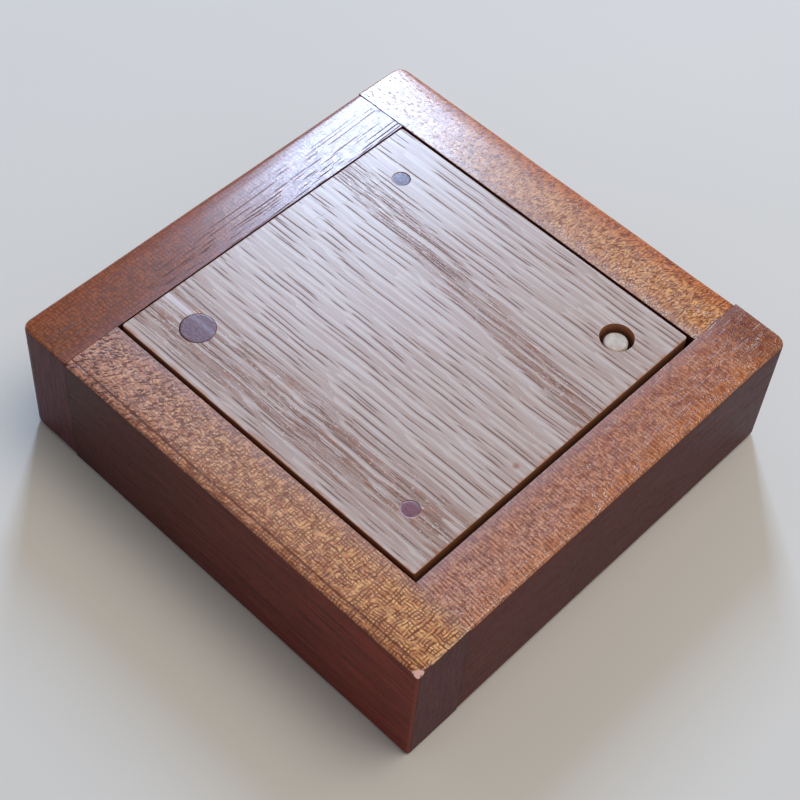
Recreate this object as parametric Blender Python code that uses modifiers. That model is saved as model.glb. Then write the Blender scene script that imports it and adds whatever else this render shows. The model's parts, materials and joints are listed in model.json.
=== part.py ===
# Square wooden coin box with a flush lid that rocks on two hidden pins.
# Pressing the lid over the pale peg tips its far corner up, and the lid then lifts out.
# Metres, +Z up, origin under the middle of the case. Front is -Y, left is -X.

import math

import bmesh
import bpy
from mathutils import Matrix, Vector

# Case: four rails, each butting against the side of the next one
case_side = 0.1016
rail_width = 0.0127
rail_height = 0.0294
rounded_corner = 0.0023
tight_corner = 0.0008
clip_leg = 0.0020
clip_depth = 0.0016
top_easing = 0.0006
inner_easing = 0.00025
foot_easing = 0.0015

# Base panel, let into a rebate that is routed round the inside of the rails
rebate_width = 0.0048
rebate_corner = 0.0040
base_thickness = 0.0042
base_recess = 0.0003
base_easing = 0.0003

# Dowels in the butt joints
dowel_diameter = 0.00635
dowel_chamfer = 0.0005
dowel_depth_in_end = 0.0120
dowel_depth_in_side = 0.0080
lower_dowel_above_rebate = 0.0052
upper_dowel_below_top = 0.0080

# Corner posts, one under each feature of the lid
post_side = 0.0209
post_easing = 0.0008

# Coin tray
tray_thickness = 0.0060
well_wall = 0.0038
well_depth = 0.0040
finger_notch_diameter = 0.0150

# Lid: the gaps to the opening differ from side to side, and the front one widens to the right
lid_thickness = 0.00635
lid_corner = 0.0005
lid_easing = 0.0002
lid_gap_left = 0.00025
lid_gap_back = 0.00060
lid_gap_right = 0.00125
lid_gap_front_left = 0.00080
lid_gap_front_right = 0.00090
large_plug_diameter = 0.0068
small_plug_diameter = 0.0036
small_plug_recess = 0.0001
plug_easing = 0.0002
peg_hole_diameter = 0.00675

# Fulcrum pins, in cradles cut across two of the posts
fulcrum_pin_diameter = 0.00476
fulcrum_pin_length = 0.0195
fulcrum_pin_chamfer = 0.0004
fulcrum_offset = 0.00064
tilt_limit = math.radians(4)

# Push peg, its keeper ring and its spring
nose_diameter = 0.0048
nose_recess = 0.0012
nose_rounding = 0.0005
shoulder_lip = 0.0009
shoulder_chamfer = 0.0006
flange_lip = 0.0014
flange_thickness = 0.0020
keeper_thickness = 0.0016
keeper_ledge = 0.0008
bore_floor_thickness = 0.0018
spring_wire_diameter = 0.0007
spring_inset = 0.0004
spring_curls = 5
points_a_curl = 10

# Clearances
glue_gap = 0.0002
seat_gap = 0.0003
slide_gap = 0.0003
push_gap = 0.0004
plug_fit = 0.0001
overrun = 0.0020

# Colours from the photograph, in linear light
rail_colours = [(0.33, 0.12, 0.045), (0.30, 0.085, 0.035), (0.36, 0.14, 0.05), (0.27, 0.08, 0.035)]
base_colour = (0.30, 0.10, 0.04)
tray_colour = (0.34, 0.13, 0.05)
post_colour = (0.55, 0.36, 0.20)
dowel_colour = (0.62, 0.42, 0.24)
peg_colour = (0.80, 0.63, 0.40)
lid_colour = (0.52, 0.36, 0.22)
plug_colour = (0.07, 0.035, 0.03)
pin_colour = (0.16, 0.07, 0.045)
spring_colour = (0.55, 0.55, 0.56)
wood_roughness = 0.45
spring_roughness = 0.3

fine_segments = 48
plain_segments = 24
rounding_steps = 3
corner_steps = 5
rebate_steps = 6
lid_corner_steps = 4
lid_easing_steps = 2
smooth_angle = math.radians(35)
nearness = 1e-7

# Plan
half_side = case_side / 2
half_opening = half_side - rail_width
post_middle = half_opening - post_side / 2
post_inner = half_opening - post_side
diagonal = math.sqrt(2)
well_radius = post_inner * diagonal - well_wall
fulcrum_shift = -fulcrum_offset / diagonal
corner_signs = {
    "front_left": (-1, -1),
    "front_right": (1, -1),
    "back_right": (1, 1),
    "back_left": (-1, 1),
}

# Levels, from the floor up
base_top = base_recess + base_thickness
floor_level = base_top + seat_gap
tray_top = floor_level + tray_thickness
lid_top = rail_height
lid_bottom = lid_top - lid_thickness
fulcrum_radius = fulcrum_pin_diameter / 2
fulcrum_level = lid_bottom - seat_gap - fulcrum_radius

# How low the lid's back right corner goes when the lid is pushed there
corner_reach = (2 * half_opening - lid_gap_right - lid_gap_back) / diagonal + fulcrum_offset
lid_above_fulcrum = lid_bottom - fulcrum_level
lowest_corner = fulcrum_level + lid_above_fulcrum * math.cos(tilt_limit) - corner_reach * math.sin(tilt_limit)
push_post_top = lowest_corner - seat_gap

# Push peg
peg_hole_radius = peg_hole_diameter / 2
nose_radius = nose_diameter / 2
nose_top = lid_top - nose_recess
shoulder_radius = peg_hole_radius + shoulder_lip
shoulder_top = lid_bottom - push_gap
flange_radius = shoulder_radius + flange_lip
keeper_bottom = push_post_top - keeper_thickness
keeper_radius = flange_radius + slide_gap + keeper_ledge
flange_top = keeper_bottom - seat_gap
flange_bottom = flange_top - flange_thickness
bore_radius = flange_radius + slide_gap
bore_floor = floor_level + bore_floor_thickness

# Joint dowels
dowel_radius = dowel_diameter / 2
rail_middle = half_side - rail_width / 2
dowel_levels = {
    "lower": floor_level + lower_dowel_above_rebate,
    "upper": rail_height - upper_dowel_below_top,
}
joint_names = ["front_left", "front_right", "back_right", "back_left"]
rail_names = ["rail_front", "rail_right", "rail_back", "rail_left"]

for old in list(bpy.data.objects):
    bpy.data.objects.remove(old, do_unlink=True)

pieces = bpy.data.collections.new("coin_box")
cutters = bpy.data.collections.new("coin_box_cutters")
bpy.context.scene.collection.children.link(pieces)
bpy.context.scene.collection.children.link(cutters)


def finish(name, colour, roughness, metallic=0.0):
    material = bpy.data.materials.new(name + "_finish")
    material.use_nodes = True
    shader = material.node_tree.nodes["Principled BSDF"]
    shader.inputs["Base Color"].default_value = (*colour, 1)
    shader.inputs["Roughness"].default_value = roughness
    shader.inputs["Metallic"].default_value = metallic
    return material


def mesh_from(bm, name):
    mesh = bpy.data.meshes.new(name)
    bm.to_mesh(mesh)
    bm.free()
    return mesh


def add_piece(name, bm, colour, location=(0, 0, 0), parent=None):
    mesh = mesh_from(bm, name)
    mesh.materials.append(finish(name, colour, wood_roughness))
    mesh.shade_smooth()
    mesh.set_sharp_from_angle(angle=smooth_angle)
    piece = bpy.data.objects.new(name, mesh)
    piece.location = location
    piece.parent = parent
    pieces.objects.link(piece)
    return piece


def add_cutter(name, bm, location=(0, 0, 0)):
    cutter = bpy.data.objects.new(name, mesh_from(bm, name))
    cutter.location = location
    cutter.hide_render = True
    cutter.display_type = "WIRE"
    cutters.objects.link(cutter)
    return cutter


def cut(piece, *tools):
    for tool in tools:
        modifier = piece.modifiers.new("cut_" + tool.name, "BOOLEAN")
        modifier.operation = "DIFFERENCE"
        modifier.solver = "EXACT"
        modifier.object = tool


def box(low, high):
    bm = bmesh.new()
    bmesh.ops.create_cube(bm, size=1)
    bmesh.ops.scale(bm, vec=[b - a for a, b in zip(low, high)], verts=bm.verts)
    bmesh.ops.translate(bm, vec=[(a + b) / 2 for a, b in zip(low, high)], verts=bm.verts)
    return bm


def ease(bm, width, segments, wanted):
    # Rounds the edges whose middle and direction satisfy wanted
    chosen = []
    for edge in bm.edges:
        first, second = (vertex.co for vertex in edge.verts)
        if wanted((first + second) / 2, (second - first).normalized()):
            chosen.append(edge)
    bmesh.ops.bevel(
        bm,
        geom=chosen,
        offset=width,
        offset_type="OFFSET",
        segments=segments,
        profile=0.5,
        affect="EDGES",
        clamp_overlap=True,
        material=-1,
    )


def is_upright(direction):
    return abs(direction.z) > 1 - nearness


def is_level(direction):
    return abs(direction.z) < nearness


def rod(radius, length, segments, chamfer=0.0, along=(0, 0, 1)):
    # A cylinder about its own middle, lying in the direction along
    bm = bmesh.new()
    bmesh.ops.create_cone(bm, cap_ends=True, segments=segments, radius1=radius, radius2=radius, depth=length)
    if chamfer > 0:
        ease(bm, chamfer, 1, lambda middle, direction: is_level(direction))
    turn = Vector((0, 0, 1)).rotation_difference(Vector(along)).to_matrix()
    bmesh.ops.rotate(bm, cent=(0, 0, 0), matrix=turn, verts=bm.verts)
    return bm


def turned(points, closed=False):
    # A profile of radii and levels, which a Screw modifier spins about Z
    bm = bmesh.new()
    corners = [bm.verts.new((radius, 0, level)) for radius, level in points]
    for first, second in zip(corners, corners[1:]):
        bm.edges.new((first, second))
    if closed:
        bm.edges.new((corners[-1], corners[0]))
    return bm


def spin(piece, segments):
    modifier = piece.modifiers.new("turning", "SCREW")
    modifier.steps = segments
    modifier.render_steps = segments
    modifier.use_merge_vertices = True
    modifier.merge_threshold = nearness
    modifier.use_smooth_shade = True


# Case


def rail(corner_radius, clipped):
    # The front rail: its left end butts against the left rail, and its right end makes the outer corner
    butt = -half_opening + glue_gap
    bm = box((butt, -half_side, 0), (half_side, -half_opening, rail_height))
    outside = half_side - nearness

    def outer_corner(middle, direction):
        return is_upright(direction) and middle.x > outside and middle.y < -outside

    def on_the_outside(middle):
        return middle.x > butt + nearness and middle.y < -half_opening - nearness

    def outer_top(middle, direction):
        return is_level(direction) and middle.z > rail_height - nearness and on_the_outside(middle)

    def outer_foot(middle, direction):
        return is_level(direction) and middle.z < nearness and on_the_outside(middle)

    def inner_top(middle, direction):
        inside = middle.y > -half_opening - nearness
        return is_level(direction) and middle.z > rail_height - nearness and inside

    ease(bm, corner_radius, corner_steps, outer_corner)
    ease(bm, top_easing, rounding_steps, outer_top)
    ease(bm, foot_easing, rounding_steps, outer_foot)
    ease(bm, inner_easing, 1, inner_top)
    if clipped:
        clip_corner(bm)
    return bm


def clip_corner(bm):
    # A small flat facet across the top of the outer corner
    on_the_end = Vector((half_side, -half_side + clip_leg, rail_height))
    on_the_side = Vector((half_side - clip_leg, -half_side, rail_height))
    on_the_corner = Vector((half_side, -half_side, rail_height - clip_depth))
    facet_normal = (on_the_end - on_the_corner).cross(on_the_side - on_the_corner).normalized()
    result = bmesh.ops.bisect_plane(
        bm,
        geom=bm.verts[:] + bm.edges[:] + bm.faces[:],
        plane_co=on_the_corner,
        plane_no=facet_normal,
        clear_outer=True,
    )
    rim = [item for item in result["geom_cut"] if isinstance(item, bmesh.types.BMEdge)]
    bmesh.ops.contextual_create(bm, geom=rim)


rebate_half = half_opening + rebate_width
rebate = box((-rebate_half, -rebate_half, -overrun), (rebate_half, rebate_half, floor_level))
ease(rebate, rebate_corner, rebate_steps, lambda middle, direction: is_upright(direction))
rebate_cutter = add_cutter("rebate_cutter", rebate)

rails = []
for turn_count, rail_name in enumerate(rail_names):
    is_front = turn_count == 0
    shape = rail(tight_corner if is_front else rounded_corner, is_front)
    piece = add_piece(rail_name, shape, rail_colours[turn_count])
    piece.rotation_euler.z = turn_count * math.pi / 2
    cut(piece, rebate_cutter)
    rails.append(piece)

dowel_length = dowel_depth_in_side + glue_gap + dowel_depth_in_end - 2 * seat_gap
hole_length = dowel_depth_in_side + glue_gap + dowel_depth_in_end
hole_middle = -half_opening + (dowel_depth_in_end + glue_gap - dowel_depth_in_side) / 2
for turn_count, joint_name in enumerate(joint_names):
    quarter_turn = Matrix.Rotation(turn_count * math.pi / 2, 3, "Z")
    along = quarter_turn @ Vector((1, 0, 0))
    for level_name, level in dowel_levels.items():
        place = quarter_turn @ Vector((hole_middle, -rail_middle, level))
        dowel = rod(dowel_radius, dowel_length, plain_segments, dowel_chamfer, along)
        name = "joint_dowel_" + joint_name + "_" + level_name
        add_piece(name, dowel, dowel_colour, place)
        hole = rod(dowel_radius + plug_fit, hole_length, plain_segments, along=along)
        hole_cutter = add_cutter(name + "_hole", hole, place)
        cut(rails[turn_count], hole_cutter)
        cut(rails[turn_count - 1], hole_cutter)

# Base panel

base_half = rebate_half - seat_gap
base = box((-base_half, -base_half, base_recess), (base_half, base_half, base_top))
ease(base, rebate_corner, rebate_steps, lambda middle, direction: is_upright(direction))
ease(base, base_easing, 1, lambda middle, direction: is_level(direction) and middle.z < base_recess + nearness)
add_piece("base_panel", base, base_colour)

# Coin tray: a board with its corners cut away round the posts, a round well and two finger notches

tray_half = half_opening - seat_gap
tray = box((-tray_half, -tray_half, floor_level), (tray_half, tray_half, tray_top))
tray_piece = add_piece("coin_tray", tray, tray_colour)
for corner_name, (side_x, side_y) in corner_signs.items():
    near = post_inner - seat_gap
    far = half_opening + overrun
    low = (min(side_x * near, side_x * far), min(side_y * near, side_y * far), floor_level - overrun)
    high = (max(side_x * near, side_x * far), max(side_y * near, side_y * far), tray_top + overrun)
    cut(tray_piece, add_cutter("tray_corner_" + corner_name, box(low, high)))
well_level = tray_top - well_depth
well_cut_height = well_depth + overrun
well_middle = well_level + well_cut_height / 2
well = rod(well_radius, well_cut_height, fine_segments)
cut(tray_piece, add_cutter("well_cutter", well, (0, 0, well_middle)))
for side_name, side in (("front", -1), ("back", 1)):
    notch = rod(finger_notch_diameter / 2, well_cut_height, plain_segments)
    cut(tray_piece, add_cutter("notch_" + side_name, notch, (0, side * well_radius, well_middle)))

# Corner posts


def post(side_x, side_y, top):
    near = post_inner
    far = half_opening - glue_gap
    low = (min(side_x * near, side_x * far), min(side_y * near, side_y * far), floor_level)
    high = (max(side_x * near, side_x * far), max(side_y * near, side_y * far), top)
    bm = box(low, high)

    def inner_corner(middle, direction):
        return is_upright(direction) and max(abs(middle.x), abs(middle.y)) < near + nearness

    ease(bm, post_easing, rounding_steps, inner_corner)
    return bm


post_tops = {
    "front_left": lid_bottom - seat_gap,
    "front_right": fulcrum_level,
    "back_right": push_post_top,
    "back_left": fulcrum_level,
}
posts = {}
for corner_name, (side_x, side_y) in corner_signs.items():
    shape = post(side_x, side_y, post_tops[corner_name])
    posts[corner_name] = add_piece("corner_post_" + corner_name, shape, post_colour)

# Fulcrum pins: they lie in their cradles and turn there with the lid

tilt_axis = bpy.data.objects.new("lid_tilt_axis", None)
tilt_axis.location = (fulcrum_shift, fulcrum_shift, fulcrum_level)
pieces.objects.link(tilt_axis)
cradle_length = fulcrum_pin_length + 2 * seat_gap
cradle_radius = fulcrum_radius + seat_gap
for corner_name in ("back_left", "front_right"):
    side_x, side_y = corner_signs[corner_name]
    along = Vector((side_x, side_y, 0)).normalized()
    from_axis = Vector((side_x * post_middle, side_y * post_middle, 0))
    pin = rod(fulcrum_radius, fulcrum_pin_length, fine_segments, fulcrum_pin_chamfer, along)
    add_piece("fulcrum_pin_" + corner_name, pin, pin_colour, from_axis, tilt_axis)
    cradle = rod(cradle_radius, cradle_length, fine_segments, along=along)
    cut(posts[corner_name], add_cutter("cradle_" + corner_name, cradle, tilt_axis.location + from_axis))

# Push peg, keeper ring and spring

push_place = (post_middle, post_middle, 0)
peg_profile = [(0, nose_top)]
for step in range(rounding_steps + 1):
    angle = math.pi / 2 * step / rounding_steps
    radius = nose_radius - nose_rounding + nose_rounding * math.sin(angle)
    level = nose_top - nose_rounding + nose_rounding * math.cos(angle)
    peg_profile.append((radius, level))
peg_profile += [
    (nose_radius, shoulder_top),
    (shoulder_radius - shoulder_chamfer, shoulder_top),
    (shoulder_radius, shoulder_top - shoulder_chamfer),
    (shoulder_radius, flange_top),
    (flange_radius, flange_top),
    (flange_radius, flange_bottom),
    (0, flange_bottom),
]
push_peg = add_piece("push_peg", turned(peg_profile), peg_colour, push_place)
spin(push_peg, fine_segments)

keeper_profile = [
    (shoulder_radius + slide_gap, push_post_top),
    (keeper_radius, push_post_top),
    (keeper_radius, keeper_bottom),
    (shoulder_radius + slide_gap, keeper_bottom),
]
keeper = add_piece("peg_keeper_ring", turned(keeper_profile, True), pin_colour, push_place)
spin(keeper, fine_segments)

bore_profile = [
    (0, push_post_top + overrun),
    (keeper_radius + glue_gap, push_post_top + overrun),
    (keeper_radius + glue_gap, keeper_bottom - glue_gap),
    (bore_radius, keeper_bottom - glue_gap),
    (bore_radius, bore_floor),
    (0, bore_floor),
]
bore_cutter = add_cutter("bore_cutter", turned(bore_profile), push_place)
spin(bore_cutter, fine_segments)
cut(posts["back_right"], bore_cutter)

wire_radius = spring_wire_diameter / 2
coil_radius = flange_radius - spring_inset - wire_radius
coil_bottom = bore_floor + seat_gap + wire_radius
coil_top = flange_bottom - seat_gap - wire_radius
coil_points = []
for count in range(spring_curls * points_a_curl + 1):
    angle = math.tau * count / points_a_curl
    level = coil_bottom + (coil_top - coil_bottom) * count / (spring_curls * points_a_curl)
    coil_points.append(Vector((coil_radius * math.cos(angle), coil_radius * math.sin(angle), level)))
coil = bpy.data.curves.new("peg_spring", "CURVE")
coil.dimensions = "3D"
coil.bevel_depth = wire_radius
coil.bevel_resolution = 1
coil.use_fill_caps = True
coil_spline = coil.splines.new("POLY")
coil_spline.points.add(len(coil_points) - 1)
for point, place in zip(coil_spline.points, coil_points):
    point.co = (*place, 1)
coil.materials.append(finish("peg_spring", spring_colour, spring_roughness, 1.0))
spring = bpy.data.objects.new("peg_spring", coil)
spring.location = push_place
pieces.objects.link(spring)
apart = range(points_a_curl // 2, len(coil_points))
coil_gap = min((coil_points[0] - coil_points[count]).length for count in apart) - spring_wire_diameter
print("least gap between the spring's curls", round(coil_gap, 6))

# Lid, with its plugs

lid_left = -half_opening + lid_gap_left
lid_right = half_opening - lid_gap_right
lid_back = half_opening - lid_gap_back
lid_front_left = -half_opening + lid_gap_front_left
lid_front_right = -half_opening + lid_gap_front_right
lid = box((lid_left, lid_front_left, lid_bottom), (lid_right, lid_back, lid_top))
for vertex in lid.verts:
    if vertex.co.x > 0 and vertex.co.y < 0:
        vertex.co.y = lid_front_right
ease(lid, lid_corner, lid_corner_steps, lambda middle, direction: is_upright(direction))
ease(lid, lid_easing, lid_easing_steps, lambda middle, direction: is_level(direction))
bmesh.ops.translate(lid, vec=-tilt_axis.location, verts=lid.verts)
lid_panel = add_piece("lid_panel", lid, lid_colour, parent=tilt_axis)


def lid_hole(name, radius, place):
    middle = (place[0], place[1], (lid_top + lid_bottom) / 2)
    hole_cutter = add_cutter(name, rod(radius, lid_thickness + 2 * overrun, fine_segments), middle)
    cut(lid_panel, hole_cutter)


large_radius = large_plug_diameter / 2
small_radius = small_plug_diameter / 2
lid_hole("peg_hole_cutter", peg_hole_radius, (post_middle, post_middle))
lid_hole("large_plug_hole", large_radius + plug_fit, (-post_middle, -post_middle))

large_plug = rod(large_radius, lid_thickness, fine_segments, plug_easing)
large_place = Vector((-post_middle, -post_middle, (lid_top + lid_bottom) / 2)) - tilt_axis.location
add_piece("large_plug", large_plug, plug_colour, large_place, tilt_axis)

small_top = lid_top - small_plug_recess
for corner_name in ("back_left", "front_right"):
    side_x, side_y = corner_signs[corner_name]
    place = (side_x * post_middle + fulcrum_shift, side_y * post_middle + fulcrum_shift)
    lid_hole("small_plug_hole_" + corner_name, small_radius + plug_fit, place)
    small_plug = rod(small_radius, small_top - fulcrum_level, fine_segments, plug_easing)
    from_axis = (side_x * post_middle, side_y * post_middle, (small_top - fulcrum_level) / 2)
    small = add_piece("small_plug_" + corner_name, small_plug, plug_colour, from_axis, tilt_axis)
    cut(small, bpy.data.objects["cradle_" + corner_name])
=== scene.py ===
# Looks of a wooden coin box: four red brown rails, a pale oak lid that rocks on two pins, and a push peg.
# Metres, +Z up. Front is -Y and left is -X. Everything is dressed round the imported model.

import json
import math

import bmesh
import bpy
from mathutils import Matrix, Vector, noise


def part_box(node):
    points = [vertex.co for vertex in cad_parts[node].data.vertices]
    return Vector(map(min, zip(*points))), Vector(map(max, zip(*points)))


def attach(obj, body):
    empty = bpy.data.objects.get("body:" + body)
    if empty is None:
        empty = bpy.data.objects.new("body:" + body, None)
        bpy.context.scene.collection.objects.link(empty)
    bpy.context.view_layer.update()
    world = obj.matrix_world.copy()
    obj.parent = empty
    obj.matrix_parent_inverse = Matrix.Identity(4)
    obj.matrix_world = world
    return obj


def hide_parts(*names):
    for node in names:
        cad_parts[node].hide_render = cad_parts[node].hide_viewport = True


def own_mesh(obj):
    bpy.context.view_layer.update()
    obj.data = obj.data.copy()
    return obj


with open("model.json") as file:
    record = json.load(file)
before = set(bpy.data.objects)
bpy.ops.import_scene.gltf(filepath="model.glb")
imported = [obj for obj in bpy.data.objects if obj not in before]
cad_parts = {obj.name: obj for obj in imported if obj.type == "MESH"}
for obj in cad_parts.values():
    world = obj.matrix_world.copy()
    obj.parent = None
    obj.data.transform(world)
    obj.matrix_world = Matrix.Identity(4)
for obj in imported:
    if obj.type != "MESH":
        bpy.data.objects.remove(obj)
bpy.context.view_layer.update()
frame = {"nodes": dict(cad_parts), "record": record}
print("frame loaded,", len(frame["nodes"]), "nodes")


# Camera at the photograph's angle: a lens and a place fitted to the box's edges

cameraFit = {
    "lensMm": 83.2113,
    "sensorMm": 36.0,
    "nearest": 0.01,
    "position": (0.13650, -0.16710, 0.29799),
    "right": (0.719170, 0.692315, 0.059108),
    "up": (-0.582528, 0.554374, 0.594416),
    "backward": (0.378755, -0.461919, 0.801982),
}
cameraData = bpy.data.cameras.new("camera")
cameraData.lens = cameraFit["lensMm"]
cameraData.sensor_width = cameraFit["sensorMm"]
cameraData.clip_start = cameraFit["nearest"]
camera = bpy.data.objects.new("camera", cameraData)
turn = Matrix((cameraFit["right"], cameraFit["up"], cameraFit["backward"])).transposed()
camera.matrix_world = Matrix.Translation(cameraFit["position"]) @ turn.to_4x4()
bpy.context.scene.collection.objects.link(camera)
bpy.context.scene.camera = camera
bpy.context.scene.view_settings.view_transform = "Standard"
print("camera placed")


# Materials. Patterns are worked out in millimetres: X across the grain, Y up into the wood and Z along the grain.

perMetre = 1000.0
upright = (0.0, 0.0, 0.0)  # no turn: the grain runs up, along Z
woodIor = 1.5
largestVessel = 1.15  # of the usual size


def hexColour(code):
    # sRGB hex to the linear values that Blender mixes
    values = []
    for start in (1, 3, 5):
        part = int(code[start:start + 2], 16) / 255
        values.append(part / 12.92 if part <= 0.04045 else ((part + 0.055) / 1.055) ** 2.4)
    return (*values, 1.0)


def addNode(tree, kind, inputs, output=0, **settings):
    # Adds a node, sets or links its inputs, and gives back one of its outputs. Inputs go by name or number:
    # MapRange takes 0 from the range 1 to 2 into the range 3 to 4, and a colour Mix goes from 6 to 7 by 0.
    node = tree.nodes.new("ShaderNode" + kind)
    for name, value in settings.items():
        setattr(node, name, value)
    for socket, value in inputs.items():
        if isinstance(value, bpy.types.NodeSocket):
            tree.links.new(value, node.inputs[socket])
        elif isinstance(value, str):
            node.inputs[socket].default_value = hexColour(value)
        else:
            node.inputs[socket].default_value = value
    return node.outputs[output]


def newMaterial(name):
    material = bpy.data.materials.new(name)
    material.use_nodes = True
    return material, material.node_tree, material.node_tree.nodes["Principled BSDF"]


def layUp(tree, colour, layers):
    # Lays tones over a colour, one after another, each where its mask says
    for mask, tone in layers:
        colour = addNode(tree, "Mix", {0: mask, 6: colour, 7: tone}, 2, data_type="RGBA")
    return colour


def joinUp(tree, shader, look, colour, roughness, height):
    # The last links of a material: its colour, its roughness and its relief
    tree.links.new(colour, shader.inputs["Base Color"])
    tree.links.new(roughness, shader.inputs["Roughness"])
    strength, depth = look["bump"]
    normal = addNode(tree, "Bump", {"Strength": strength, "Distance": depth, "Height": height})
    tree.links.new(normal, shader.inputs["Normal"])


def fibreTurn(quarterTurns):
    # Lays the grain of a board along X, and then turns it round Z
    alongX = Matrix(((0, 1, 0), (0, 0, 1), (1, 0, 0)))
    return (alongX @ Matrix.Rotation(-quarterTurns * math.pi / 2, 3, "Z")).to_euler()


def fibreCoordinates(tree, turnAngles):
    place = addNode(tree, "TexCoord", {}, "Object")
    return addNode(tree, "Mapping", {
        "Vector": place,
        "Rotation": turnAngles,
        "Scale": (perMetre, perMetre, perMetre),
    })


def mottle(tree, fibre, sizes, seed, turn=0.0, detail=2.0, output=0):
    # Soft blotches of these sizes in mm: across the grain, into the wood and along the grain. Each seed reads the
    # noise at another place.
    placed = addNode(tree, "Mapping", {
        "Vector": fibre,
        "Location": (seed, seed * 1.7, seed * 2.3),
        "Rotation": (0.0, math.radians(turn), 0.0),
        "Scale": sizes,
    }, vector_type="TEXTURE")
    return addNode(tree, "TexNoise", {"Vector": placed, "Scale": 1.0, "Detail": detail}, output)


def marksOf(tree, fibre, look, kind, shift=0.0):
    # Blotches cut to marks: as the noise goes from the first level to the second, so does their strength
    mark = look["marks"][kind]
    field = mottle(tree, fibre, mark["sizes"], look["seed"] + mark["seed"] + shift, detail=mark["detail"])
    return addNode(tree, "MapRange", {
        0: field,
        1: mark["levels"][0],
        2: mark["levels"][1],
        3: mark["strength"][0],
        4: mark["strength"][1],
    })


def wanderingFibre(tree, raw, look):
    # Coordinates that follow the grain where it sways a little to either side
    sway = mottle(tree, raw, look["swaySizes"], look["seed"], output="Color")
    return addNode(tree, "VectorMath", {0: sway, 1: look["sway"], 2: raw}, operation="MULTIPLY_ADD")


def distanceFrom(tree, coordinate, level):
    away = addNode(tree, "Math", {0: coordinate, 1: level}, operation="SUBTRACT")
    return addNode(tree, "Math", {0: away}, operation="ABSOLUTE")


def vesselField(tree, fibre, vessel, seed):
    # How far a point is from the nearest vessel's middle, where 1 is its wall, and its offset from there.
    # The vessels run along the grain and dip under the surface, so that a planed face cuts each one to a dash.
    # They stand so many mm apart across the grain and down into the wood, with a dash's width and length in mm.
    cells = addNode(tree, "Mapping", {
        "Vector": fibre,
        "Location": (seed, seed * 1.3, 0.0),
        "Rotation": [math.radians(vessel[turn]) for turn in ("dip", "slant", "roll")],
        "Scale": (vessel["across"], vessel["down"], 1.0),
    }, vector_type="TEXTURE")
    nearest = addNode(tree, "TexVoronoi", {"Vector": cells, "Scale": 1.0, "Randomness": vessel["scatter"]},
                      "Position", voronoi_dimensions="2D")
    offset = addNode(tree, "VectorMath", {0: cells, 1: nearest}, operation="SUBTRACT")
    halfWidth = vessel["width"] / 2 / vessel["across"]
    halfDepth = vessel["length"] / 2 * math.sin(math.radians(vessel["dip"])) / vessel["down"]
    shaped = addNode(tree, "VectorMath", {0: offset, 1: (1 / halfWidth, 1 / halfDepth, 0.0)}, operation="MULTIPLY")
    reach = addNode(tree, "VectorMath", {0: shaped}, "Value", operation="LENGTH")
    chance = addNode(tree, "SeparateColor", {0: nearest.node.outputs["Color"]})
    size = addNode(tree, "MapRange", {0: chance, 3: vessel["smallest"], 4: largestVessel})
    return addNode(tree, "Math", {0: reach, 1: size}, operation="DIVIDE"), offset


def endGrain(tree, quarterTurns):
    # 1 where a face looks along the grain
    grain = Matrix.Rotation(quarterTurns * math.pi / 2, 3, "Z") @ Vector((1, 0, 0))
    facing = addNode(tree, "TexCoord", {}, "Normal")
    along = addNode(tree, "VectorMath", {0: facing, 1: grain}, "Value", operation="DOT_PRODUCT")
    size = addNode(tree, "Math", {0: along}, operation="ABSOLUTE")
    return addNode(tree, "MapRange", {0: size, 1: 0.6, 2: 0.9})


# Oiled red oak, planed and sanded: pale pinkish grey with long open vessels that the oil has darkened

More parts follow.
